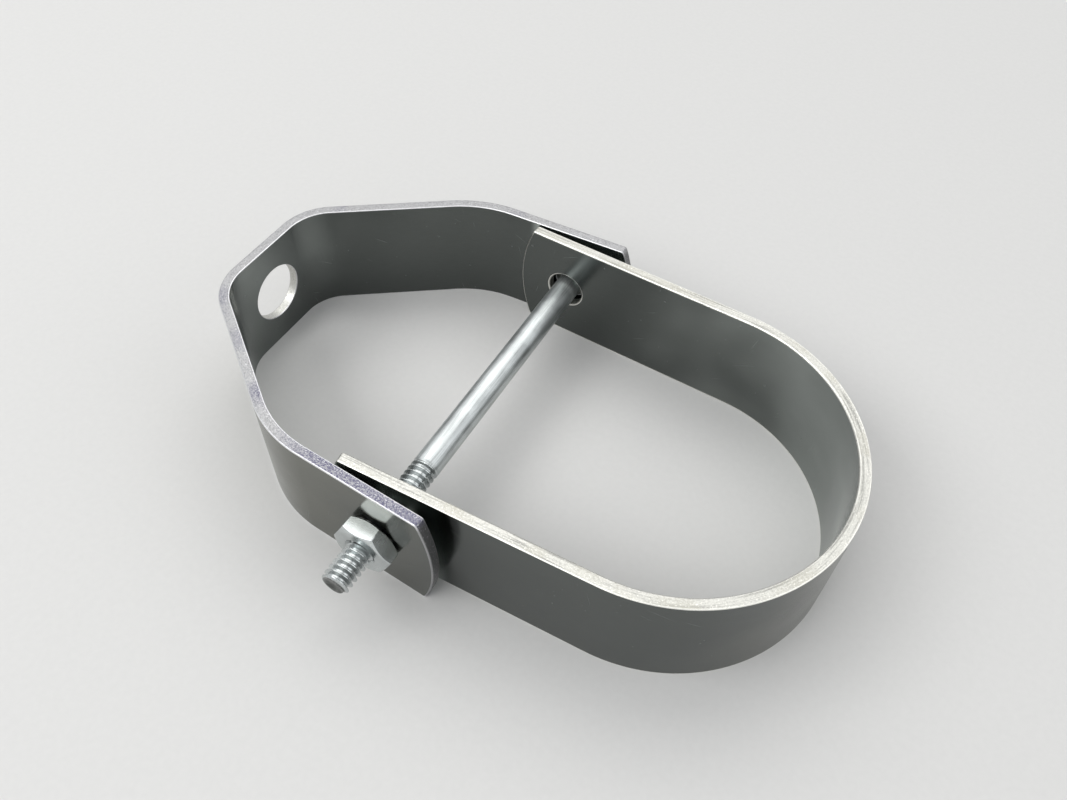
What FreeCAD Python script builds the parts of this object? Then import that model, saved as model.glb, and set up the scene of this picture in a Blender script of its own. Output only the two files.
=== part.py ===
import FreeCAD, Part
import os
from math import atan2, cos, hypot, pi, radians, sin, sqrt, tan

# Light-duty clevis pipe hanger, lying on its side as it rests on a bench.
# Millimetres. The origin is the centre of the rod hole on the outer face of the yoke's top.
# X runs from the rod hole to the bottom of the pipe loop, Y along the cross bolt
# towards its head, and Z across the width of the strips.

# Driving dimensions

# The two steel strips are cut from one stock
strip_width = 22.5
strip_thickness = 1.9
edge_break = 0.2
ear_end_radius = 29.0

# Yoke, the upper strip
rod_hole_diameter = 11.1
top_half_width = 11.9
top_bend_radius = 9.0
shoulder_depth = 28.1
shoulder_bend_radius = 21.3
bolt_depth = 49.3
yoke_ear_flare = 3.5
yoke_ear_reach = 11.7

# Strap, the lower strip with the pipe loop
seat_radius = 28.5
seat_to_bolt = 35.3
strap_side_lean = 1.7
strap_ear_reach = 10.0

# Cross bolt and nut
bolt_diameter = 4.83
bolt_length = 80.0
bolt_point_chamfer = 0.45
bolt_point_dish = 0.35
fastener_flats = 9.53
head_height = 3.4
nut_height = 3.2
nut_turn = 3.0
nut_lead = 0.35
corner_chamfer_angle = 30.0
face_circle_share = 0.95

# Clearances
bolt_hole_clearance = 2.37
swing_clearance = 0.25
seat_clearance = 0.05
thread_clearance = 0.05

# Sizes worked out from the driving dimensions
half_width = strip_width / 2
half_thick = strip_thickness / 2
flare = radians(yoke_ear_flare)
lean = radians(strap_side_lean)
bolt_hole_radius = (bolt_diameter + bolt_hole_clearance) / 2
bolt_x = bolt_depth
seat_x = bolt_x + seat_to_bolt
seat_mid_radius = seat_radius + half_thick

# The rounded end of an ear falls back by this much at the strip's edges
ear_end_drop = ear_end_radius - sqrt(ear_end_radius ** 2 - half_width ** 2)

# Half the width over the strap's ears at the bolt
strap_half_outside = (seat_radius + strip_thickness) / cos(lean) + seat_to_bolt * tan(lean)

# A corner of a strap ear sweeps a circle about the bolt, inside the flared yoke ears
corner_depth = strap_ear_reach - ear_end_drop
corner_sweep = hypot(corner_depth, half_width)
sweep_allowance = corner_sweep * tan(flare) + corner_depth * tan(lean)
yoke_half_inside = strap_half_outside + swing_clearance + sweep_allowance

# Half the width where the yoke's shoulder and ear meet, on the strip's middle line
ear_corner_half_width = (yoke_half_inside + half_thick / cos(flare)
                         - (bolt_x - half_thick - shoulder_depth) * tan(flare))

# The head and the nut meet the flared ears at the outermost corner of the hexagon
fastener_corner = fastener_flats / 2 / cos(pi / 6)
fastener_seat_y = (yoke_half_inside + strip_thickness / cos(flare)
                   + fastener_corner * tan(flare) + seat_clearance)


# A strip is drawn as a run of straights and bends along its middle line

def bend_run(start, heading, steps):
    """Follow straights and bends from start: each becomes its end points, middle and side normals."""
    x, y = start
    runs = []
    for step in steps:
        ahead = (cos(heading), sin(heading))
        side = (-ahead[1], ahead[0])
        if step[0] == "straight":
            end = (x + ahead[0] * step[1], y + ahead[1] * step[1])
            runs.append({"kind": "straight", "points": [(x, y), end], "sides": [side, side]})
        else:
            radius, angle = step[1], step[2]
            turn = 1 if angle > 0 else -1
            centre = (x + side[0] * radius * turn, y + side[1] * radius * turn)
            points = []
            sides = []
            for share in (0, 0.5, 1):
                now = heading + angle * share
                normal = (-sin(now), cos(now))
                points.append((centre[0] - normal[0] * radius * turn, centre[1] - normal[1] * radius * turn))
                sides.append(normal)
            runs.append({"kind": "bend", "points": points, "sides": sides})
            heading += angle
            end = points[-1]
        x, y = end
    return runs


def side_edges(runs, offset):
    """The edges of one face of the strip, at a distance from the middle line."""
    edges = []
    for run in runs:
        corners = [FreeCAD.Vector(p[0] + s[0] * offset, p[1] + s[1] * offset, -half_width)
                   for p, s in zip(run["points"], run["sides"])]
        if run["kind"] == "straight":
            edges.append(Part.makeLine(corners[0], corners[1]))
        else:
            edges.append(Part.Arc(*corners).toShape())
    return edges


def bent_strip(runs):
    """A flat bar of the stock, bent along its middle line and as wide as the strip."""
    left = side_edges(runs, half_thick)
    right = side_edges(runs, -half_thick)
    first = Part.makeLine(right[0].Vertexes[0].Point, left[0].Vertexes[0].Point)
    last = Part.makeLine(left[-1].Vertexes[-1].Point, right[-1].Vertexes[-1].Point)
    outline = Part.Wire(Part.__sortEdges__(left + right + [first, last]))
    return Part.Face(outline).extrude(FreeCAD.Vector(0, 0, strip_width))


def across(radius, x, length):
    """A round bar along Y through the ears."""
    return Part.makeCylinder(radius, length, FreeCAD.Vector(x, -length / 2, 0), FreeCAD.Vector(0, 1, 0))


def ear_trim(tip_x, outwards, length):
    """What is cut off to leave ears with rounded ends, whose tips lie at tip_x."""
    depth = ear_end_radius
    low_x = tip_x - ear_end_drop - edge_break if outwards > 0 else tip_x - depth
    block = Part.makeBox(depth + ear_end_drop + edge_break, length, 2 * strip_width,
                         FreeCAD.Vector(low_x, -length / 2, -strip_width))
    return block.cut(across(ear_end_radius, tip_x - outwards * ear_end_radius, length))


def soften(shape, size):
    """Break the long edges of a strip, where the cut edges meet the faces."""
    long_edges = []
    for edge in shape.Edges:
        box = edge.BoundBox
        flat = box.ZMax - box.ZMin < 1e-6
        if flat and abs(abs(box.ZMax) - half_width) < 1e-6 and edge.Length > 2 * strip_thickness:
            long_edges.append(edge)
    return shape.makeChamfer(size, long_edges)


# Yoke: flat top, two sloping shoulders and two flared ears

def yoke():
    run_x = shoulder_depth
    run_y = ear_corner_half_width - top_half_width
    slope = hypot(run_x, run_y)
    shoulder_angle = atan2(run_y, run_x)
    top_turn = pi / 2 - shoulder_angle
    ear_turn = shoulder_angle - flare
    top_mid_radius = top_bend_radius + half_thick
    ear_mid_radius = shoulder_bend_radius + half_thick
    top_tangent = top_mid_radius * tan(top_turn / 2)
    ear_tangent = ear_mid_radius * tan(ear_turn / 2)
    ear_run = (bolt_x + yoke_ear_reach - half_thick - shoulder_depth) / cos(flare)
    ear_straight = ear_run - ear_tangent + edge_break
    steps = [("straight", ear_straight),
             ("bend", ear_mid_radius, -ear_turn),
             ("straight", slope - ear_tangent - top_tangent),
             ("bend", top_mid_radius, -top_turn),
             ("straight", 2 * (top_half_width - top_tangent)),
             ("bend", top_mid_radius, -top_turn),
             ("straight", slope - ear_tangent - top_tangent),
             ("bend", ear_mid_radius, -ear_turn),
             ("straight", ear_straight)]
    ear_end = ear_run + edge_break
    start = (half_thick + shoulder_depth + ear_end * cos(flare),
             -(ear_corner_half_width + ear_end * sin(flare)))
    runs = bend_run(start, pi - flare, steps)
    span = 4 * ear_corner_half_width
    shape = bent_strip(runs)
    shape = soften(shape, edge_break)
    shape = shape.cut(ear_trim(bolt_x + yoke_ear_reach, 1, span))
    rod_hole = Part.makeCylinder(rod_hole_diameter / 2, 3 * strip_thickness,
                                 FreeCAD.Vector(-strip_thickness, 0, 0), FreeCAD.Vector(1, 0, 0))
    return shape.cut(rod_hole).cut(across(bolt_hole_radius, bolt_x, span))


# Strap: a half-round pipe seat with two sides that lean apart towards the ears

def strap():
    side_run = (seat_to_bolt + strap_ear_reach) / cos(lean) + seat_mid_radius * tan(lean) + edge_break
    turn = pi - 2 * lean
    steps = [("straight", side_run), ("bend", seat_mid_radius, turn), ("straight", side_run)]
    tangent_x = seat_x + seat_mid_radius * sin(lean)
    tangent_y = -seat_mid_radius * cos(lean)
    start = (tangent_x - side_run * cos(lean), tangent_y - side_run * sin(lean))
    runs = bend_run(start, lean, steps)
    span = 4 * seat_mid_radius
    shape = soften(bent_strip(runs), edge_break)
    shape = shape.cut(ear_trim(bolt_x - strap_ear_reach, -1, span))
    return shape.cut(across(bolt_hole_radius, bolt_x, span))


# Fasteners: both are hexagons whose corners are chamfered by a cone

def hexagon(height, turn_degrees):
    """A hexagonal prism along Z that stands on its bearing face."""
    angles = [radians(60 * k + turn_degrees) for k in range(7)]
    points = [FreeCAD.Vector(fastener_corner * cos(a), fastener_corner * sin(a), 0) for a in angles]
    return Part.Face(Part.makePolygon(points)).extrude(FreeCAD.Vector(0, 0, height))


def corner_cone(height, faces):
    """A turned body that cuts the hexagon's corners at its far face, or at both faces."""
    beyond = fastener_corner + 1
    face_radius = face_circle_share * fastener_flats / 2
    fall = (beyond - face_radius) * tan(radians(corner_chamfer_angle))
    low = [(0, 0), (face_radius, 0), (beyond, fall)] if faces == 2 else [(0, 0), (beyond, 0)]
    outline = low + [(beyond, height - fall), (face_radius, height), (0, height), (0, 0)]
    wire = Part.makePolygon([FreeCAD.Vector(r, 0, z) for r, z in outline])
    return Part.Face(wire).revolve(FreeCAD.Vector(), FreeCAD.Vector(0, 0, 1), 360)


def along_bolt(shape, seat_y, towards):
    """Turn a shape from standing on Z to lie on the bolt's axis, from seat_y towards +Y or -Y."""
    shape.rotate(FreeCAD.Vector(), FreeCAD.Vector(1, 0, 0), -90 * towards)
    shape.translate(FreeCAD.Vector(bolt_x, seat_y, 0))
    return shape


def cross_bolt():
    radius = bolt_diameter / 2
    point_radius = radius - bolt_point_chamfer
    profile = [(0, 0), (radius, 0), (radius, bolt_length - bolt_point_chamfer), (point_radius, bolt_length),
               (0, bolt_length - bolt_point_dish), (0, 0)]
    wire = Part.makePolygon([FreeCAD.Vector(r, 0, z) for r, z in profile])
    shank = Part.Face(wire).revolve(FreeCAD.Vector(), FreeCAD.Vector(0, 0, 1), 360)
    head = hexagon(head_height, nut_turn).common(corner_cone(head_height, 1))
    head = along_bolt(head, fastener_seat_y, 1)
    shank = along_bolt(shank, fastener_seat_y, -1)
    return head.fuse(shank).removeSplitter()


def hex_nut():
    blank = hexagon(nut_height, nut_turn).common(corner_cone(nut_height, 2))
    bore_radius = bolt_diameter / 2 + thread_clearance
    bore = Part.makeCylinder(bore_radius, nut_height + 2, FreeCAD.Vector(0, 0, -1))
    lead = Part.makeCone(bore_radius + nut_lead, bore_radius, nut_lead)
    far_lead = Part.makeCone(bore_radius, bore_radius + nut_lead, nut_lead,
                             FreeCAD.Vector(0, 0, nut_height - nut_lead))
    return along_bolt(blank.cut(bore).cut(lead).cut(far_lead), -fastener_seat_y, -1)


pieces = {"yoke": yoke, "strap": strap, "cross_bolt": cross_bolt, "hex_nut": hex_nut}

os.makedirs("parts", exist_ok=True)
for name, make in pieces.items():
    shape = make()
    if len(shape.Solids) != 1 or not shape.isValid():
        raise RuntimeError(name + " isn't one valid solid")
    shape.Solids[0].exportStep(os.path.join("parts", name + ".step"))
    box = shape.BoundBox
    print("%-12s x %.2f to %.2f, y %.2f to %.2f, z %.2f to %.2f, %.0f mm3"
          % (name, box.XMin, box.XMax, box.YMin, box.YMax, box.ZMin, box.ZMax, shape.Volume))
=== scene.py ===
from itertools import groupby
from math import atan2, cos, hypot, pi, radians, sin, sqrt, tan

import bmesh
import bpy
from bpy.props import FloatProperty, FloatVectorProperty, PointerProperty
from mathutils import Matrix, Vector
from mathutils.geometry import delaunay_2d_cdt


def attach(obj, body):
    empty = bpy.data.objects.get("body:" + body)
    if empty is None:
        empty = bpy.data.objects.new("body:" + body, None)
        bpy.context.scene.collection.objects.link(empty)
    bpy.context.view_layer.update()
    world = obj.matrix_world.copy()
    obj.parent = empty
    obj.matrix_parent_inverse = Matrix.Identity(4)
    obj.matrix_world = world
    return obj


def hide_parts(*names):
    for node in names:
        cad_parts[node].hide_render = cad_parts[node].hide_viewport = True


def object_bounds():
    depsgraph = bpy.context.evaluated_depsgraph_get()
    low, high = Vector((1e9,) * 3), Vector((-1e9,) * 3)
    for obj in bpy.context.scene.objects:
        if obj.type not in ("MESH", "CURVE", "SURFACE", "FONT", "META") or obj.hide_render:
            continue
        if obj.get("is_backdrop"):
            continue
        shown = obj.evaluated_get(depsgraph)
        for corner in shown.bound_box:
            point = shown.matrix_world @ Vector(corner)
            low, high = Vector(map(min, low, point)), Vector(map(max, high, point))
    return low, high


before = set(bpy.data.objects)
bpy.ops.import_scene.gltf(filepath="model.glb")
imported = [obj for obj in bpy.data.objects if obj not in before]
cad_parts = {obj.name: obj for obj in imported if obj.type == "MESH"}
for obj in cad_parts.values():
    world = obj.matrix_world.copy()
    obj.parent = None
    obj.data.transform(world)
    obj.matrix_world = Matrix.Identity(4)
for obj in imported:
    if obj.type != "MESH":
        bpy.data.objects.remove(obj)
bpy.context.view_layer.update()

bl_info = {
    "name": "Clevis pipe hanger",
    "version": (1, 0, 0),
    "blender": (4, 5, 0),
    "location": "3D View > Sidebar > Hanger",
    "description": "A clevis pipe hanger of bent zinc-plated strip, with its cross bolt and nut",
    "category": "Object",
}

MM = 0.001

# How finely the strips are divided
BEND_STEP = radians(0.5)
LEAST_BEND_STEPS = 8
GRID_STEP = radians(1.5)
GRID_SPANS = 6
GRID_COLUMNS = 8
CORNER_STEPS = 6
END_STEPS = 36
HOLE_STEPS = 64
ROLL_STEPS = 5
BURR_STEPS = 4

# How finely the bolt and the nut are divided
ROUND_STEPS = 48
HEX_CORNER_STEPS = 4
HEX_FLAT_STEPS = 8
HEX_EDGE_STEPS = 2
FILLET_STEPS = 4
SHANK_STEPS = 12
THREAD_STEPS = 16

# Margins and tolerances of the meshes
BEND_LEAD = 0.2 * MM
END_MARGIN = 0.3 * MM
HOLE_MARGIN = 1.2 * MM
SPOTS_PER_METRE = 1e8
FILL_TOLERANCE = 1e-9
HOLE_SHARE = 0.999
WELD = 0.002 * MM
END_REACH = 0.01 * MM
BEVEL_ANGLE = radians(20)
SHARP_ANGLE = radians(38)

# Heights on a cut edge, as shares of half the thickness
SHEAR_END = 0.25
BREAK_START = -0.1
BREAK_MIDDLE = -0.5

# Shares of a thread's pitch, from the middle of a crest, where its flank starts and ends
FLANK_START = 1 / 16
FLANK_END = 6 / 16
# Whole turns, and a hair, that keep a thread's phase above zero
PHASE_LIFT = 1000.00001

# Details of the bolt and the nut
FACE_CIRCLE_SHARE = 0.95
FADE_TURNS = 2.0
SPARE_TURNS = 3
HEAD_FILLET = 0.25 * MM
HEAD_OPENING = 1.5 * MM
POINT_FALL = 0.45 * MM
DISH_RINGS = ((0.9, 0.0), (0.72, 0.45), (0.4, 0.9))
NUT_THREAD_SHARE = 0.75

# Zones of the finishes
SIDE_BLEND = 0.2 * MM
# How far the painted light in the gap between the ears fades in
GAP_LIGHT_BLEND = 3 * MM
# Where along the blank the far outer and near inner faces are painted lighter than the painted shade on the
# rest
PAINTED_LIGHTER_ZONE = (30 * MM, 50 * MM)
PATCH_LIFT = 0.22

# The stage
STAGE_MIDDLE = (0.055, 0.0, 0.0)
BACKDROP = (0.86, 0.87, 0.88, 1.0)
FLOOR_REACH = 3.0
FADE_START = 0.35
FADE_END = 1.5
SENSOR_WIDTH = 36.0


# Sizes and colours that a user may change

def length(name, description, millimetres):
    """A length in metres whose default is given in millimetres."""
    return FloatProperty(name=name, description=description, default=millimetres * MM,
                         min=0.0, precision=5, unit="LENGTH", subtype="DISTANCE")


def angle(name, description, degrees):
    """An angle whose default is given in degrees."""
    return FloatProperty(name=name, description=description, default=radians(degrees),
                         unit="ROTATION", subtype="ANGLE")


def colour(name, description, *tone):
    """A linear colour."""
    return FloatVectorProperty(name=name, description=description, default=tone,
                               min=0.0, max=1.0, size=3, subtype="COLOR")


def world_point(name, description, *spot):
    """A place in metres."""
    return FloatVectorProperty(name=name, description=description, default=spot, size=3,
                               precision=5, unit="LENGTH", subtype="TRANSLATION")


class HangerStripSizes(bpy.types.PropertyGroup):
    """The steel strip that both bent pieces are cut from."""
    width: length("Width", "Width of the strip", 22.5)
    thickness: length("Thickness", "Thickness of the strip", 1.9)
    end_radius: length("Ear end radius", "Radius of the rounded end of each ear", 29.0)
    corner_round: length("Corner round", "Round where an ear's end meets the strip's side", 0.6)
    rolled_edge: length("Rolled edge", "Round that the shear leaves on the side it enters", 0.3)
    burred_edge: length("Burred edge", "Round on the side where the shear breaks out", 0.14)
    break_depth: length("Break depth", "How far the broken part of a cut edge lies back", 0.06)


class HangerYokeSizes(bpy.types.PropertyGroup):
    """The upper strip, with the rod hole."""
    rod_hole: length("Rod hole", "Diameter of the hole for the hanger rod", 11.1)
    top_half: length("Half top width", "Half the width of the flat top, to its bend corners", 11.9)
    top_bend: length("Top bend radius", "Inside radius of the bends at the top", 9.0)
    shoulder_depth: length("Shoulder depth", "Distance from the top to the shoulder corners", 28.1)
    shoulder_bend: length("Shoulder bend radius", "Inside radius of the shoulder bends", 21.3)
    bolt_depth: length("Bolt depth", "Distance from the top's outer face to the bolt", 49.3)
    ear_flare: angle("Ear flare", "How far each ear leans outwards", 3.5)
    ear_reach: length("Ear reach", "Distance from the bolt to the ear's end", 11.7)


class HangerStrapSizes(bpy.types.PropertyGroup):
    """The lower strip, with the pipe seat."""
    seat_radius: length("Seat radius", "Inside radius of the half-round pipe seat", 28.5)
    seat_to_bolt: length("Seat to bolt", "Distance from the seat's centre to the bolt", 35.3)
    side_lean: angle("Side lean", "How far each side leans outwards", 1.7)
    ear_reach: length("Ear reach", "Distance from the bolt to the ear's end", 10.0)


class HangerFastenerSizes(bpy.types.PropertyGroup):
    """The cross bolt and its nut."""
    diameter: length("Bolt diameter", "Diameter of the bolt's shank and thread", 4.83)
    bolt_length: length("Bolt length", "Length of the bolt under its head", 80.0)
    thread_length: length("Thread length", "Length of the threaded end", 25.4)
    pitch: length("Thread pitch", "Distance from one thread crest to the next", 25.4 / 24)
    thread_depth: length("Thread depth", "Depth of the thread's grooves", 0.62)
    point_chamfer: length("Point chamfer", "Chamfer at the bolt's point", 0.3)
    point_dish: length("Point dish", "Depth of the hollow in the bolt's end", 0.35)
    flats: length("Across flats", "Width of the head and the nut across their flats", 9.53)
    head_height: length("Head height", "Height of the bolt's head", 3.4)
    nut_height: length("Nut height", "Height of the nut", 3.2)
    nut_lead: length("Nut lead", "Chamfer at the ends of the nut's thread", 0.35)
    hex_turn: angle("Hexagon turn", "How far the nut is turned from flat side up", 3.0)
    hex_chamfer: angle("Hexagon chamfer", "Slope of the cone that cuts the hexagon's corners", 30.0)
    corner_round: length("Corner round", "Round on the hexagon's corners", 0.22)
    edge_round: length("Edge round", "Round on the edges of the head and the nut", 0.08)
    hole_clearance: length("Hole clearance", "Extra diameter of the holes over the bolt", 2.37)
    swing_clearance: length("Swing clearance", "Gap that lets the strap swing in the yoke", 0.25)
    seat_clearance: length("Seat clearance", "Gap between the fasteners and the ears", 0.05)
    thread_clearance: length("Thread clearance", "Radial gap between the two threads", 0.05)


class HangerFinish(bpy.types.PropertyGroup):
    """Colours of the zinc plating and the floor."""
    face: colour("Strip face", "Plating on the faces of the strips", 0.155, 0.167, 0.160)
    yoke_edge: colour("Yoke cut edge", "Plating on the yoke's cut edges", 0.36, 0.36, 0.366)
    yoke_patch: colour("Yoke edge patches", "Violet patches of the yoke's cut edges", 0.09, 0.087, 0.15)
    strap_edge: colour("Strap cut edge", "Plating on the strap's cut edges", 0.54, 0.537, 0.503)
    strap_patch: colour("Strap edge patches", "Straw patches of the strap's cut edges", 0.42, 0.412, 0.365)
    fastener: colour("Fasteners", "Plating on the bolt and the nut", 0.58, 0.61, 0.61)
    # The hollow of the bolt's end is coloured darker than the rest of the bolt.
    bolt_end: colour("Bolt end", "Dull plating in the hollow of the bolt's end", 0.08, 0.083, 0.08)
    floor: colour("Floor", "Pale floor", 0.70, 0.695, 0.68)


class HangerView(bpy.types.PropertyGroup):
    """Where the photograph was taken from."""
    position: world_point("Position", "Place of the camera", 0.104275, -0.08825, 0.127028)
    aim: world_point("Aim", "Point that the camera looks at", 0.057633, 0.002087, 0.0)
    roll: angle("Roll", "Turn of the camera about its line of sight", 2.8)
    lens: FloatProperty(name="Lens", description="Focal length for a 36 mm wide sensor",
                        default=30.885, min=1.0)


# Shapes worked out from the sizes, in the same way as the solids

class HangerShape:
    """Places and angles that several pieces share."""

    def __init__(self, scene):
        strip = scene.hanger_strip
        yoke = scene.hanger_yoke
        strap = scene.hanger_strap
        fasteners = scene.hanger_fasteners
        self.half_width = strip.width / 2
        self.half_thick = strip.thickness / 2
        end_drop = strip.end_radius - sqrt(strip.end_radius ** 2 - self.half_width ** 2)
        self.flare = yoke.ear_flare
        self.lean = strap.side_lean
        self.bolt_x = yoke.bolt_depth
        self.seat_x = yoke.bolt_depth + strap.seat_to_bolt
        self.seat_middle = strap.seat_radius + self.half_thick
        self.hole_radius = (fasteners.diameter + fasteners.hole_clearance) / 2
        half_outside = ((strap.seat_radius + strip.thickness) / cos(self.lean)
                        + strap.seat_to_bolt * tan(self.lean))
        corner_depth = strap.ear_reach - end_drop
        sweep = (hypot(corner_depth, self.half_width) * tan(self.flare)
                 + corner_depth * tan(self.lean))
        half_inside = half_outside + fasteners.swing_clearance + sweep
        self.shoulder_to_bolt = yoke.bolt_depth - self.half_thick - yoke.shoulder_depth
        self.ear_corner = (half_inside + self.half_thick / cos(self.flare)
                           - self.shoulder_to_bolt * tan(self.flare))
        hex_corner = fasteners.flats / 2 / cos(pi / 6)
        self.seat_y = (half_inside + strip.thickness / cos(self.flare)
                       + hex_corner * tan(self.flare) + fasteners.seat_clearance)
        self.thread_y = self.seat_y - fasteners.bolt_length + fasteners.thread_length


class FoldLine:
    """The middle line of a bent strip: a step is a run without a turn, or a radius with one."""

    def __init__(self, start, heading, steps):
        self.points = [Vector((*start, 0))]
        self.zones = []
        self.length = 0.0
        for size, turn in steps:
            begin = self.length
            if turn:
                self.add_bend(heading, size, turn)
            else:
                self.add_straight(heading, size)
            heading += turn
            self.zones.append((begin, self.length, turn))

    def add_straight(self, heading, run):
        """A straight, with a point close to each of its ends."""
        start = self.points[-1]
        ahead = Vector((cos(heading), sin(heading), 0))
        lead = min(BEND_LEAD, run / 3)
        self.points += [start + ahead * reach for reach in (lead, run - lead, run)]
        self.length += run

    def add_bend(self, heading, radius, turn):
        """A bend, as chords of equal length."""
        count = max(LEAST_BEND_STEPS, round(abs(turn) / BEND_STEP))
        chord = 2 * radius * sin(abs(turn) / count / 2)
        for k in range(count):
            now = heading + turn * (k + 0.5) / count
            self.points.append(self.points[-1] + Vector((cos(now), sin(now), 0)) * chord)
        self.length += chord * count


def arc(x, y, radius, first, last, steps):
    """Places and outward directions along an arc, with both of its ends."""
    turns = [first + (last - first) * k / steps for k in range(steps + 1)]
    return [(x + radius * cos(a), y + radius * sin(a), cos(a), sin(a)) for a in turns]


def strip_end(strip, half_length, half_width):
    """The rounded end of the flat blank at +X: places and outward directions from -Y to +Y."""
    radius = strip.end_radius
    corner = strip.corner_round
    corner_y = half_width - corner
    centre_x = half_length - radius
    corner_x = centre_x + sqrt((radius - corner) ** 2 - corner_y ** 2)
    limit = atan2(corner_y, corner_x - centre_x)
    return (arc(corner_x, -corner_y, corner, -pi / 2, -limit, CORNER_STEPS)[:-1]
            + arc(centre_x, 0.0, radius, -limit, limit, END_STEPS)
            + arc(corner_x, corner_y, corner, limit, pi / 2, CORNER_STEPS)[1:])


def quarter_turn(steps):
    """Angles from 0 to 90 degrees."""
    return [pi / 2 * k / steps for k in range(steps + 1)]


def cut_profile(strip, half_thick):
    """A sheared edge from the rolled side to the burred side: depth back, height, slope of its normal."""
    rolled = strip.rolled_edge
    burred = strip.burred_edge
    back = strip.break_depth
    roll = [(rolled * (1 - sin(a)), half_thick - rolled * (1 - cos(a)), pi / 2 - a)
            for a in quarter_turn(ROLL_STEPS)]
    step = [(depth, half_thick * share, 0.0)
            for depth, share in ((0.0, SHEAR_END), (back, BREAK_START), (back, BREAK_MIDDLE))]
    burr = [(back + burred * (1 - cos(a)), burred * (1 - sin(a)) - half_thick, -a)
            for a in quarter_turn(BURR_STEPS)]
    return roll + step + burr


def stepped(row):
    """A closed row that starts one place further on."""
    return row[1:] + row[:1]


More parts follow.
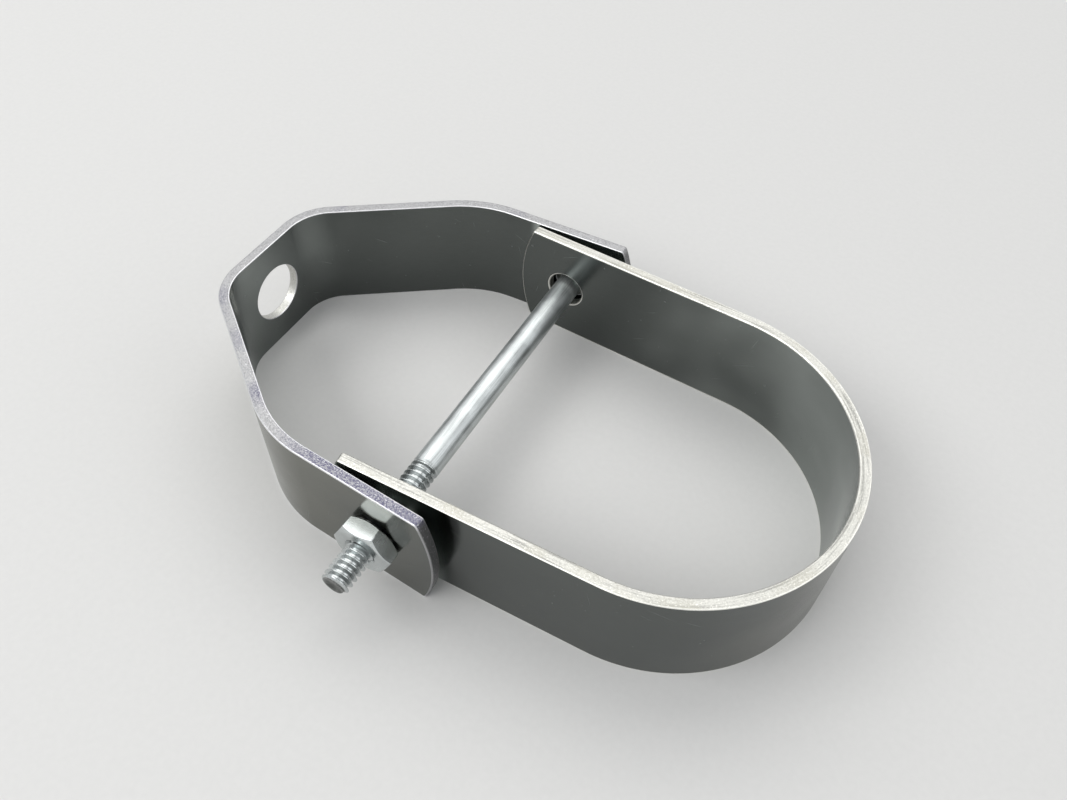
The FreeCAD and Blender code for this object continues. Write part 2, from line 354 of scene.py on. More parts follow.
class Blank:
    """A flat blank with rounded ends and punched holes, before it is bent."""

    def __init__(self, strip, shape, line, holes):
        self.strip = strip
        self.half_width = shape.half_width
        self.half_thick = shape.half_thick
        self.half_length = line.length / 2
        self.holes = holes
        self.places = []
        self.normals = []
        self.punched = []
        self.index = {}
        self.faces = []
        self.cut = []
        self.right_end = strip_end(strip, self.half_length, self.half_width)
        self.marks = self.cross_lines(line.zones)

    def cross_lines(self, zones):
        """Where the cross lines of the grid lie along the blank. The last ones lie beyond the holes."""
        last = self.right_end[-1][0] - END_MARGIN
        marks = [-last, last]
        for begin, end, turn in zones:
            spans = max(GRID_SPANS, round(abs(turn) / GRID_STEP))
            marks += [begin + (end - begin) * k / spans - self.half_length for k in range(spans)]
        return sorted(set(round(m, 9) for m in marks if abs(m) <= last))

    def vertex(self, x, y, z, normal, punched=0.0):
        """The number of the vertex at a place, which is made when it isn't there yet."""
        key = tuple(round(c * SPOTS_PER_METRE) for c in (x, y, z))
        if key not in self.index:
            self.index[key] = len(self.places)
            self.places.append((x, y, z))
            self.normals.append(normal)
            self.punched.append(punched)
        return self.index[key]

    def flat_vertex(self, x, y, side):
        """A vertex on one of the flat faces: side is +1 for the upper and -1 for the lower."""
        return self.vertex(x, y, side * self.half_thick, (0.0, 0.0, float(side)))

    def face(self, corners, is_cut):
        """Add a face, apart from one that has shrunk to a line."""
        distinct = list(dict.fromkeys(corners))
        if len(distinct) > 2:
            self.faces.append(distinct)
            self.cut.append(is_cut)

    def flat_face(self, corners, side):
        """Add a flat face whose corners run anticlockwise as seen from above."""
        self.face(corners[::side], False)

    def outline(self):
        """The outer edge, anticlockwise: place and outward direction."""
        right = self.right_end
        left = [(-x, y, -nx, ny) for x, y, nx, ny in reversed(right)]
        top = [(m, self.half_width, 0.0, 1.0) for m in reversed(self.marks)]
        low = [(m, -self.half_width, 0.0, -1.0) for m in self.marks]
        return right + top + left + low

    def hole_outline(self, x, radius):
        """The edge of a hole, clockwise: the outward direction is the one that leaves the metal."""
        ring = arc(x, 0.0, radius, 0.0, -2 * pi, HOLE_STEPS)[:-1]
        return [(px, py, -nx, -ny) for px, py, nx, ny in ring]

    def add_cut(self, outline, profile, punched):
        """The sheared wall that joins the two faces around an outline."""
        rings = []
        for back, z, slope in profile:
            rings.append([self.vertex(x - nx * back, y - ny * back, z,
                                      (nx * cos(slope), ny * cos(slope), sin(slope)), punched)
                          for x, y, nx, ny in outline])
        for upper, lower in zip(rings, rings[1:]):
            for corners in zip(upper, lower, stepped(lower), stepped(upper)):
                self.face(corners, True)

    def near_hole(self, span):
        """Whether a hole reaches into the span between two cross lines."""
        return any(span[0] < x + r + HOLE_MARGIN and span[1] > x - r - HOLE_MARGIN
                   for x, r in self.holes)

    def add_flat(self, back, side):
        """One flat face, inside the cut edges: a grid, and triangles around holes and ends."""
        inner = self.half_width - back
        rows = [inner * (2 * k / GRID_COLUMNS - 1) for k in range(GRID_COLUMNS + 1)]
        spans = zip(self.marks, self.marks[1:])
        for pierced, group in groupby(spans, key=self.near_hole):
            group = list(group)
            if pierced:
                run = [group[0][0]] + [b for a, b in group]
                self.fill([(m, rows[0]) for m in run[:-1]] + [(run[-1], y) for y in rows]
                          + [(m, rows[-1]) for m in reversed(run[1:-1])]
                          + [(run[0], y) for y in reversed(rows[1:])], back, side)
                continue
            for a, b in group:
                for low, high in zip(rows, rows[1:]):
                    corners = ((a, low), (b, low), (b, high), (a, high))
                    self.flat_face([self.flat_vertex(x, y, side) for x, y in corners], side)
        rim = [(x - nx * back, y - ny * back) for x, y, nx, ny in self.right_end]
        rim += [(self.marks[-1], y) for y in reversed(rows)]
        self.fill(rim, back, side)
        self.fill([(-x, y) for x, y in rim], back, side)

    def fill(self, rim, back, side):
        """Triangles inside a rim and outside the holes within it."""
        points = [Vector(p) for p in rim]
        edges = [(k, (k + 1) % len(rim)) for k in range(len(rim))]
        low = min(p[0] for p in rim)
        high = max(p[0] for p in rim)
        inside = [(x, r + back) for x, r in self.holes if low < x < high]
        for x, radius in inside:
            first = len(points)
            ring = [(px - nx * back, py - ny * back)
                    for px, py, nx, ny in self.hole_outline(x, radius - back)]
            points += [Vector(p) for p in ring]
            edges += [(first + k, first + (k + 1) % len(ring)) for k in range(len(ring))]
        places, _, triangles, originals = delaunay_2d_cdt(points, edges, [], 1, FILL_TOLERANCE)[:4]
        for corners in triangles:
            spots = [places[c] for c in corners]
            middle = sum(spots, Vector((0, 0))) / len(spots)
            if any(hypot(middle.x - x, middle.y) < radius * HOLE_SHARE for x, radius in inside):
                continue
            sources = [points[originals[c][0]] if originals[c] else places[c] for c in corners]
            ids = [self.flat_vertex(p.x, p.y, side) for p in sources]
            a, b, c = spots[:3]
            self.flat_face(ids if (b - a).cross(c - a) > 0 else ids[::-1], side)

    def build(self, name):
        """The blank as a mesh object, with its flat places and normals kept as attributes."""
        profile = cut_profile(self.strip, self.half_thick)
        self.add_cut(self.outline(), profile, 0.0)
        for x, radius in self.holes:
            self.add_cut(self.hole_outline(x, radius), profile, 1.0)
        self.add_flat(profile[0][0], 1)
        self.add_flat(profile[-1][0], -1)
        mesh = bpy.data.meshes.new(name)
        mesh.from_pydata(self.places, [], self.faces)
        for label, kind, domain, key, values in (
                ("blank_place", "FLOAT_VECTOR", "POINT", "vector", [c for p in self.places for c in p]),
                ("flat_normal", "FLOAT_VECTOR", "POINT", "vector", [c for n in self.normals for c in n]),
                ("punched", "FLOAT", "POINT", "value", self.punched),
                ("sheared", "BOOLEAN", "FACE", "value", self.cut)):
            mesh.attributes.new(label, kind, domain).data.foreach_set(key, values)
        return placed(name, mesh)


def placed(name, data):
    """A new object in the scene."""
    item = bpy.data.objects.new(name, data)
    bpy.context.scene.collection.objects.link(item)
    return item


# Node trees for the shapes that follow a rule

class Field:
    """A value in a node tree, with the usual signs for its arithmetic."""

    def __init__(self, make, socket):
        self.make = make
        self.socket = socket

    def __add__(self, other):
        return self.make.math("ADD", self, other)

    def __sub__(self, other):
        return self.make.math("SUBTRACT", self, other)

    def __rsub__(self, other):
        return self.make.math("SUBTRACT", other, self)

    def __mul__(self, other):
        return self.make.math("MULTIPLY", self, other)

    def __truediv__(self, other):
        return self.make.math("DIVIDE", self, other)

    def __abs__(self):
        return self.make.math("ABSOLUTE", self)

    def at_least(self, other):
        return self.make.math("MAXIMUM", self, other)

    def at_most(self, other):
        return self.make.math("MINIMUM", self, other)

    def spread(self, low, high, to_low=0.0, to_high=1.0, ramp="LINEAR"):
        """Map one range of values onto another."""
        node = self.make.add("ShaderNodeMapRange", {"clamp": True, "interpolation_type": ramp})
        for socket, value in zip(node.inputs, (self, low, high, to_low, to_high)):
            self.make.feed(socket, value)
        return Field(self.make, node.outputs[0])

    def blend(self, first, second):
        """A mix of two colours by this value."""
        node = self.make.add("ShaderNodeMix", {"data_type": "RGBA"})
        self.make.feed(node.inputs[0], self)
        for socket, tone in zip(node.inputs[6:8], (first, second)):
            self.make.feed(socket, tone if isinstance(tone, bpy.types.NodeSocket) else (*tone, 1.0))
        return node.outputs[2]


class TreeMaker:
    """Adds nodes to a tree and links them."""

    def __init__(self, tree):
        self.tree = tree

    def add(self, kind, settings=None, **inputs):
        node = self.tree.nodes.new(kind)
        for key, value in (settings or {}).items():
            setattr(node, key, value)
        for key, value in inputs.items():
            self.feed(node.inputs[key.replace("_", " ")], value)
        return node

    def feed(self, socket, value):
        if isinstance(value, Field):
            value = value.socket
        if isinstance(value, bpy.types.NodeSocket):
            self.tree.links.new(value, socket)
        elif value is not None:
            socket.default_value = value

    def math(self, operation, first, second=None):
        node = self.add("ShaderNodeMath", {"operation": operation})
        for socket, value in zip(node.inputs, (first, second)):
            self.feed(socket, value)
        return Field(self, node.outputs[0])

    def vector(self, operation, first, second=None, scale=None):
        node = self.add("ShaderNodeVectorMath", {"operation": operation})
        self.feed(node.inputs[0], first)
        self.feed(node.inputs[1], second)
        if scale is not None:
            self.feed(node.inputs["Scale"], scale)
        if operation == "LENGTH":
            return Field(self, node.outputs["Value"])
        return node.outputs["Vector"]

    def noise(self, vector, scale, detail, roughness=0.5):
        """Noise between 0 and 1. Its scale is per metre, for all directions or for each."""
        if isinstance(scale, tuple):
            vector = self.vector("MULTIPLY", vector, self.combine(*scale))
            scale = 1.0
        node = self.add("ShaderNodeTexNoise", Vector=vector, Scale=scale, Detail=detail,
                        Roughness=roughness)
        return Field(self, node.outputs["Fac"])

    def attribute(self, name):
        """The outputs of a named attribute."""
        return self.add("ShaderNodeAttribute", {"attribute_name": name}).outputs

    def combine(self, x, y, z):
        return self.add("ShaderNodeCombineXYZ", X=x, Y=y, Z=z).outputs[0]

    def separate(self, vector):
        return [Field(self, s) for s in self.add("ShaderNodeSeparateXYZ", Vector=vector).outputs]


def shape_tree(name, inputs):
    """The maker of an empty geometry tree, and its named inputs."""
    tree = bpy.data.node_groups.new(name, "GeometryNodeTree")
    for label, kind in {"Geometry": "Geometry", **inputs}.items():
        tree.interface.new_socket(name=label, in_out="INPUT", socket_type="NodeSocket" + kind)
    tree.interface.new_socket(name="Geometry", in_out="OUTPUT", socket_type="NodeSocketGeometry")
    make = TreeMaker(tree)
    given = make.add("NodeGroupInput").outputs
    return make, {socket.name: Field(make, socket) for socket in given}


def close_tree(make, geometry, materials):
    """Every tree ends by making its instances real and giving them their materials."""
    out = make.add("GeometryNodeRealizeInstances", Geometry=geometry).outputs[0]
    for material, selection in materials:
        out = make.add("GeometryNodeSetMaterial", Geometry=out, Material=material,
                       Selection=selection).outputs[0]
    make.feed(make.add("NodeGroupOutput").inputs[0], out)
    return make.tree


def folding_tree():
    """Bends a flat blank along its fold line."""
    make, given = shape_tree("Fold a blank", {
        "Fold line": "Object", "Half length": "Float",
        "Face material": "Material", "Edge material": "Material"})
    line = make.add("GeometryNodeObjectInfo", {"transform_space": "ORIGINAL"},
                    Object=given["Fold line"])
    along, across, through = make.separate(make.add("GeometryNodeInputPosition").outputs[0])
    sample = make.add("GeometryNodeSampleCurve", {"mode": "LENGTH"},
                      Curves=line.outputs["Geometry"], Length=along + given["Half length"])
    ahead = sample.outputs["Tangent"]
    up = make.combine(0.0, 0.0, 1.0)
    side = make.vector("NORMALIZE", make.vector("CROSS_PRODUCT", up, ahead))

    def beside(start, sideways, upwards):
        moved = make.vector("ADD", start, make.vector("SCALE", side, scale=sideways))
        return make.vector("ADD", moved, make.combine(0.0, 0.0, upwards))

    flat = make.add("GeometryNodeInputNamedAttribute", {"data_type": "FLOAT_VECTOR"}, Name="flat_normal")
    lean = make.separate(flat.outputs["Attribute"])
    turned = beside(make.vector("SCALE", ahead, scale=lean[0]), lean[2], lean[1])
    kept = make.add("GeometryNodeStoreNamedAttribute",
                    {"data_type": "FLOAT_VECTOR", "domain": "POINT"},
                    Geometry=given["Geometry"], Name="bent_normal", Value=turned)
    bent = make.add("GeometryNodeSetPosition", Geometry=kept.outputs[0],
                    Position=beside(sample.outputs["Position"], through, across))
    outwards = make.add("GeometryNodeFlipFaces", Mesh=bent.outputs[0])
    sheared = make.add("GeometryNodeInputNamedAttribute", {"data_type": "BOOLEAN"}, Name="sheared")
    return close_tree(make, outwards.outputs[0], [
        (given["Face material"], None), (given["Edge material"], sheared.outputs["Attribute"])])


def thread_tree(inside):
    """A right-hand thread along +Z, cut by a cone at its end, or at both ends of a nut."""
    make, given = shape_tree("Nut thread" if inside else "Bolt thread", {
        "Crest radius": "Float", "Root radius": "Float", "Pitch": "Float", "Length": "Float",
        "Offset": "Float", "Turns": "Int", "Steps per turn": "Int", "Fade turns": "Float",
        "Chamfer": "Float", "Material": "Material"})
    crest = given["Crest radius"]
    pitch = given["Pitch"]
    grid = make.add("GeometryNodeMeshGrid", Size_X=1.0, Size_Y=1.0,
                    Vertices_X=given["Turns"] * given["Steps per turn"] + 1.0,
                    Vertices_Y=THREAD_STEPS + 1)
    place = make.separate(make.add("GeometryNodeInputPosition").outputs[0])
    turn = (place[0] + 0.5) * given["Turns"]
    start = make.math("MODULO", given["Offset"], pitch)
    free = (turn + (place[1] + 0.5) - 1.0) * pitch - start
    height = free.at_least(0.0).at_most(given["Length"])
    phase = (height + given["Offset"]) / pitch - turn
    phase = make.math("FRACT", phase + PHASE_LIFT)
    groove = abs(phase - 0.5).spread(FLANK_START, FLANK_END)
    if not inside:
        groove = groove * (height / (given["Fade turns"] * pitch)).at_most(1.0)
    radius = crest - groove * (crest - given["Root radius"])
    to_end = given["Length"] - height
    if inside:
        radius = radius.at_least(crest + given["Chamfer"] - to_end.at_most(height))
    else:
        radius = radius.at_most(crest - given["Chamfer"] + to_end)
    turned = turn * (2 * pi)
    spot = make.combine(radius * make.math("COSINE", turned),
                        radius * make.math("SINE", turned), height)
    wound = make.add("GeometryNodeSetPosition", Geometry=grid.outputs["Mesh"], Position=spot)
    closed = make.add("GeometryNodeMergeByDistance", Geometry=wound.outputs[0], Distance=WELD)
    return close_tree(make, closed.outputs[0], [(given["Material"], None)])


def plain_mesh(holder):
    """The mesh of an object with its modifiers applied."""
    bpy.context.view_layer.update()
    graph = bpy.context.evaluated_depsgraph_get()
    return bpy.data.meshes.new_from_object(holder.evaluated_get(graph), depsgraph=graph)


def run_tree(holder, tree, values):
    """Run a tree on an object and return the result as a plain mesh."""
    modifier = holder.modifiers.new(tree.name, "NODES")
    modifier.node_group = tree
    for item in tree.interface.items_tree:
        if item.item_type == "SOCKET" and item.in_out == "INPUT" and item.name in values:
            modifier[item.identifier] = values[item.name]
    mesh = plain_mesh(holder)
    holder.modifiers.remove(modifier)
    return mesh


def finish_piece(name, mesh, body, solid):
    """Turn a mesh into a piece that rides on a body and stands for one of the solids."""
    mesh.name = name
    piece = placed(name, mesh)
    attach(piece, body)
    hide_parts(solid)


def remove(*items):
    """Delete helper objects and their data."""
    for item in items:
        data = item.data
        store = bpy.data.meshes if isinstance(data, bpy.types.Mesh) else bpy.data.curves
        bpy.data.objects.remove(item)
        store.remove(data)


def bent_piece(name, line, holes, shape, scene, face_material, edge_material):
    """A strip piece: its blank is folded along its line, and keeps exact normals."""
    blank = Blank(scene.hanger_strip, shape, line, holes).build(name + "_blank")
    curve = bpy.data.curves.new(name + "_fold_line", "CURVE")
    curve.dimensions = "3D"
    spline = curve.splines.new("POLY")
    spline.points.add(len(line.points) - 1)
    for point, place in zip(spline.points, line.points):
        point.co = (*place, 1.0)
    path = placed(name + "_fold_line", curve)
    mesh = run_tree(blank, folding_tree(), {
        "Fold line": path, "Half length": line.length / 2,
        "Face material": face_material, "Edge material": edge_material})
    remove(blank, path)
    normals = [v.vector.copy() for v in mesh.attributes["bent_normal"].data]
    for label in ("bent_normal", "flat_normal"):
        mesh.attributes.remove(mesh.attributes[label])
    mesh.shade_smooth()
    mesh.normals_split_custom_set_from_vertices(normals)
    finish_piece("bent_" + name, mesh, name, name)


# Hexagons and threads for the bolt and the nut

def hexagon_rim(flats, corner_round, turn):
    """A hexagon with rounded corners: the place of each point."""
    rim = []
    centre = (flats / 2 - corner_round) / cos(pi / 6)

    def spot(corner, bend):
        return Vector((centre * cos(corner) + corner_round * cos(bend),
                       centre * sin(corner) + corner_round * sin(bend)))

    for corner in range(6):
        a = turn + corner * pi / 3
        rim += [spot(a, a + (k / HEX_CORNER_STEPS - 0.5) * pi / 3) for k in range(HEX_CORNER_STEPS + 1)]
        arrive = spot(a + pi / 3, a + pi / 6)
        rim += [rim[-1].lerp(arrive, k / HEX_FLAT_STEPS) for k in range(1, HEX_FLAT_STEPS)]
    return rim


def hex_shell(sizes, height, inner_radius, both_chamfered):
    """A chamfered hexagon from z = 0 to its height, open at its middle, as loops from hole to hole."""
    rim = hexagon_rim(sizes.flats, sizes.corner_round, sizes.hex_turn)
    face_radius = FACE_CIRCLE_SHARE * sizes.flats / 2
    reach = [p.length for p in rim]
    falls = [(r - face_radius) * tan(sizes.hex_chamfer) for r in reach]
    low = falls if both_chamfered else [0.0] * len(rim)

    def ring(radii, heights):
        ways = [p.normalized() for p in rim]
        return [(w.x * r, w.y * r, h) for w, r, h in zip(ways, radii, heights)]

    def circle(radius, z):
        return ring([radius] * len(rim), [z] * len(rim))

    loops = [circle(inner_radius, 0.0), ring(reach, low), ring(reach, [height - f for f in falls]),
             circle(face_radius, height), circle(inner_radius, height)]
    if both_chamfered:
        loops.insert(1, circle(face_radius, 0.0))
    return loops


def round_loop(radius, z):
    """A circle about the Z axis, at a height."""
    return [(x, y, z) for x, y, nx, ny in arc(0.0, 0.0, radius, 0.0, 2 * pi, ROUND_STEPS)[:-1]]


def loft(bm, loops):
    """Join loops of equal count into a skin and return the rows of vertices."""
    rows = [[bm.verts.new(p) for p in loop] for loop in loops]
    for low, high in zip(rows, rows[1:]):
        for corners in zip(low, stepped(low), stepped(high), high):
            bm.faces.new(corners)
    return rows


def cap(bm, row):
    """Close a row of vertices with a fan around its middle."""
    centre = bm.verts.new(sum((v.co for v in row), Vector()) / len(row))
    for a, b in zip(row, stepped(row)):
        bm.faces.new((a, b, centre))


def softened(bm, width):
    """Weld a skin, turn its faces outwards and round its sharp edges a little."""
    bmesh.ops.remove_doubles(bm, verts=bm.verts, dist=WELD)
    bmesh.ops.recalc_face_normals(bm, faces=bm.faces)
    return modified(as_mesh(bm, "hexagon"), "BEVEL", {
        "width": width, "segments": HEX_EDGE_STEPS, "limit_method": "ANGLE",
        "angle_limit": BEVEL_ANGLE, "use_clamp_overlap": True})


def as_mesh(bm, name):
    """End a bmesh as a mesh."""
    mesh = bpy.data.meshes.new(name)
    bm.to_mesh(mesh)
    bm.free()
    return mesh


def add_mesh(bm, mesh, move=Matrix()):
    """Move a mesh and add it to a bmesh."""
    mesh.transform(move)
    bm.from_mesh(mesh)
    bpy.data.meshes.remove(mesh)


def modified(mesh, kind, settings):
    """The mesh that a modifier makes of a mesh."""
    holder = placed("helper", mesh)
    modifier = holder.modifiers.new(kind, kind)
    for key, value in settings.items():
        setattr(modifier, key, value)
    done = plain_mesh(holder)
    remove(holder)
    return done


def fastener_mesh(bm, name, material):
    """Make the mesh of the bolt or the nut, whose flats shade as flat faces."""
    mesh = as_mesh(bm, name)
    mesh.materials.clear()
    mesh.materials.append(material)
    mesh.shade_smooth()
    mesh.set_sharp_from_angle(angle=SHARP_ANGLE)
    return modified(mesh, "WEIGHTED_NORMAL", {"mode": "FACE_AREA", "weight": 100, "keep_sharp": True})


def thread_mesh(inside, crest, root, size, offset, material):
    """The helical surface of a thread, as a mesh along +Z from z = 0."""
    sizes = bpy.context.scene.hanger_fasteners
    holder = placed("thread", bpy.data.meshes.new("thread"))
    mesh = run_tree(holder, thread_tree(inside), {
        "Crest radius": crest, "Root radius": root, "Pitch": sizes.pitch, "Length": size,
        "Offset": offset, "Turns": int(size / sizes.pitch) + SPARE_TURNS,
        "Steps per turn": ROUND_STEPS, "Fade turns": FADE_TURNS,
        "Chamfer": sizes.nut_lead if inside else sizes.point_chamfer, "Material": material})
    remove(holder)
    return mesh


def along_bolt(shape, y, towards):
    """Lays what stands on Z along the bolt's axis at a place on it, towards +Y (1) or -Y (-1)."""
    return Matrix.Translation((shape.bolt_x, y, 0)) @ Matrix.Rotation(-towards * pi / 2, 4, "X")


# Finishes

def new_material(name):
    """A node material with its maker and its shader."""
    material = bpy.data.materials.new(name)
    material.use_nodes = True
    material.node_tree.nodes.clear()
    make = TreeMaker(material.node_tree)
    shader = make.add("ShaderNodeBsdfPrincipled")
    make.add("ShaderNodeOutputMaterial", Surface=shader.outputs[0])
    return material, make, shader


def dress(make, shader, tint, rough, relief, strength, depth, metallic=1.0):
    """Give a shader its colour, its gloss and a fine relief."""
    bump = make.add("ShaderNodeBump", Strength=strength, Distance=depth, Height=relief)
    for key, value in (("Base Color", tint), ("Roughness", rough), ("Normal", bump.outputs[0])):
        make.feed(shader.inputs[key], value)
    shader.inputs["Metallic"].default_value = metallic


def shade(tone, factor):
    """A colour made lighter or darker."""
    return tuple(min(1.0, c * factor) for c in tone)


def layered(tint, *layers):
    """A colour with others laid over it, each by its own share."""
    for share, tone in layers:
        tint = share.blend(tint, tone)
    return tint


def strip_place(make):
    """Where a point lay on the flat blank: the whole vector, then along, across and through."""
    spot = make.attribute("blank_place")["Vector"]
    return [spot] + make.separate(spot)


def scratches(make, spot, turn, spacing, rarity):
    """Sparse fine scratches that run one way across the blank."""
    turned = make.add("ShaderNodeVectorRotate", {"rotation_type": "Z_AXIS"}, Vector=spot, Angle=turn)
    lines = make.noise(turned.outputs[0], (110.0, spacing, 400.0), 1.0)
    sparse = make.noise(spot, 130.0, 1.0)
    return lines.spread(rarity, rarity + 0.05) * sparse.spread(0.5, 0.6)


def face_finish(name, tone, reflection_middle, reflection_reach, outer_side, gap_light_from):
    """Smooth zinc on the rolled faces: clouded, wavy, with pits and scratches; painted shade on most of the
    faces, a painted reflection in one zone, and painted light in the gap between the ears.
    """
    material, make, shader = new_material(name)
    spot, along, across, through = strip_place(make)
    cloud = make.noise(spot, (40.0, 75.0, 75.0), 3.0)
    grain = make.noise(spot, (420.0, 5200.0, 5200.0), 2.0)
    pits = make.noise(spot, 1500.0, 1.0).spread(0.78, 0.82, 0.0, 0.7)
    worn = scratches(make, spot, 0.5, 5200.0, 0.76).at_least(scratches(make, spot, 1.3, 4300.0, 0.77))
    worn = worn.at_least(pits)
    outside = (through * outer_side).spread(0.0, SIDE_BLEND)
    # Painted reflection: a zone along the blank is painted lighter, as if it mirrors a lit patch of floor,
    # at 1.9 times the tone on the inner side and straw-tinted on the outer side.
    straw_reflection = (tone[0] * 1.1, tone[1] * 1.03, tone[2] * 0.92)
    drift = (make.noise(spot, 38.0, 2.0) - 0.5) * 0.05
    painted_reflection = abs(along - reflection_middle) + drift
    painted_reflection = painted_reflection.spread(reflection_reach * 0.3, reflection_reach, 1.0, 0.0, "SMOOTHSTEP")
    # Painted shade: the faces are painted at 0.72 of their tone, as a painted reflection of a dark floor;
    # the far outer and near inner faces are painted lighter, at 1.25, instead.
    far_outside_painted_lighter = outside * along.spread(*PAINTED_LIGHTER_ZONE)
    near_inside_painted_lighter = (1.0 - outside) * along.spread(-PAINTED_LIGHTER_ZONE[1], -PAINTED_LIGHTER_ZONE[0], 1.0, 0.0)
    # Painted light: where the ears overlap, the faces that meet between them are painted at 4 times the
    # tone, so the shaded gap between them does not render black.
    in_ear_gap = abs(along).spread(gap_light_from, gap_light_from + GAP_LIGHT_BLEND, ramp="SMOOTHSTEP")
    mating = through.spread(-SIDE_BLEND, 0.0, 1.0, 0.0)
    tint = layered(
        shade(tone, 0.72),
        (far_outside_painted_lighter + near_inside_painted_lighter, shade(tone, 1.25)),
        (painted_reflection, outside.blend(shade(tone, 1.9), straw_reflection)),
        (in_ear_gap * mating, shade(tone, 4.0)),
        (cloud.spread(0.35, 0.65, 0.0, 0.25), shade(tone, 0.6)),
        (grain.spread(0.3, 0.7, 0.0, 0.06), shade(tone, 1.6)),
        (worn, shade(tone, 1.8)))
    rough = cloud.spread(0.3, 0.7, 0.17, 0.25) + worn * 0.2
    waves = make.noise(spot, 260.0, 1.0)
    dress(make, shader, tint, rough, waves + grain * 0.04, strength=1.0, depth=0.02 * MM)
    return material


def edge_finish(name, tone, hole_tone, patch_tone, patch_scale, patch_level, patch_places,
                lined, speckled, fleck_and_highlight_gain):
    """Bright zinc on a sheared edge: lined, flecked, tinted in patches, with painted shade on the ear ends
    and a painted highlight where it is rounded.
    """
    material, make, shader = new_material(name)
    half_width = bpy.context.scene.hanger_strip.width / 2
    half_thick = bpy.context.scene.hanger_strip.thickness / 2
    spot, along, across, through = strip_place(make)
    punched = Field(make, make.attribute("punched")["Fac"])
    lines = make.noise(spot, (80.0, 2500.0, 2500.0), 3.0, 0.6)
    speckle = make.noise(spot, (3600.0, 5200.0, 5200.0), 2.0, 0.7)
    flecks = make.noise(spot, (4200.0, 5600.0, 5600.0), 1.0)
    grain = make.noise(spot, 9500.0, 1.0)
    patches = make.noise(spot, patch_scale, 2.0)
    for middle, reach in patch_places:
        patches += abs(along - middle).spread(reach * 0.3, reach, PATCH_LIFT, 0.0)
    patched = patches.spread(patch_level, patch_level + 0.14, 0.0, 0.9)
    on_side = abs(across).spread(half_width - 1.2 * MM, half_width - 0.4 * MM)
    # Painted shade: the ear ends of the cut edge are painted at 0.45 of the tone, as a painted reflection
    # of a dark floor; they also take less of the painted highlight.
    on_end = 1.0 - on_side.at_least(punched)
    # Painted highlight: thin bands along both rounded borders of the cut edge are painted lighter, by the
    # same gain as the white flecks.
    rounded = abs(through).spread(half_thick * 0.76, half_thick * 0.9)
    flecks_and_highlight = flecks.spread(0.62, 0.7, 0.0, 0.6).at_least(rounded * on_end.spread(0.0, 1.0, 1.0, 0.35))
    shaded = punched.blend(shade(tone, 0.45), shade(hole_tone, 0.5))
    tint = layered(
        tone,
        (punched, hole_tone),
        (on_end, shade(tone, 0.45)),
        (speckle.spread(0.48, 0.64, 0.0, speckled), shaded),
        (lines.spread(0.5, 0.62, 0.0, lined), shaded),
        (patched * speckle.spread(0.40, 0.56, 0.2, 1.0) * on_side, patch_tone),
        (flecks_and_highlight, shade(tone, fleck_and_highlight_gain)))
    rough = speckle.spread(0.3, 0.7, 0.36, 0.5) - rounded * 0.12
    relief = lines * lined + speckle * 0.5 + grain * 0.25
    dress(make, shader, tint, rough, relief, strength=0.6, depth=0.05 * MM)
    return material


def fastener_skin(make, tone):
    """Blue-white zinc with a clouded skin: its place, its clouds, its relief and its colour."""
    spot = make.add("ShaderNodeTexCoord").outputs["Object"]
    cloud = make.noise(spot, 240.0, 3.0)
    skin = make.noise(spot, 4200.0, 2.0)
    tint = layered(
        shade(tone, 0.86),
        (cloud.spread(0.35, 0.65), shade(tone, 1.12)),
        (skin.spread(0.6, 0.75, 0.0, 0.4), shade(tone, 0.6)))
    return spot, cloud, skin * 0.3, tint


def nut_finish(tone):
    """Bright zinc, plain and clouded."""
    material, make, shader = new_material("zinc_nut")
    spot, cloud, relief, tint = fastener_skin(make, tone)
    rough = cloud.spread(0.3, 0.7, 0.2, 0.3)
    dress(make, shader, tint, rough, relief, strength=0.2, depth=0.03 * MM)
    return material


def bolt_finish(tone, end_tone, shape, sizes):
    """Bright zinc with the fine lines of drawn wire, and darker in the hollow of the bolt's end."""
    material, make, shader = new_material("zinc_bolt")
    spot, cloud, relief, tint = fastener_skin(make, tone)
    lines = make.noise(spot, (4600.0, 130.0, 4600.0), 3.0, 0.6)
    end_mottle = make.noise(spot, 1400.0, 3.0)
    along = make.separate(spot)[1]
    from_axis = make.vector("SUBTRACT", spot, make.combine(shape.bolt_x, 0.0, 0.0))
    from_axis = make.vector("LENGTH", make.vector("MULTIPLY", from_axis, make.combine(1.0, 0.0, 1.0)))
    # The hollow of the bolt's end is coloured darker, with a mottle.
    bottom = shape.seat_y - sizes.bolt_length + sizes.point_dish
    hollow = (from_axis.spread(sizes.diameter * 0.39, sizes.diameter * 0.42, 1.0, 0.0)
              * along.spread(bottom + 0.02 * MM, bottom + 0.1 * MM, 1.0, 0.0))
    darker_end = end_mottle.spread(0.4, 0.65).blend(end_tone, shade(end_tone, 2.0))
    tint = layered(tint, (lines.spread(0.5, 0.64, 0.0, 0.45), shade(tone, 0.45)), (hollow, darker_end))
    polish = along.spread(shape.thread_y - 1.0 * MM, shape.thread_y, 0.13, 0.0)
    rough = cloud.spread(0.3, 0.7, 0.3, 0.42) - polish
    relief = relief + lines + end_mottle * hollow * 2.0
    dress(make, shader, tint, rough, relief, strength=0.25, depth=0.03 * MM, metallic=0.84)
    return material


# Operators, one for each piece and one for the stage

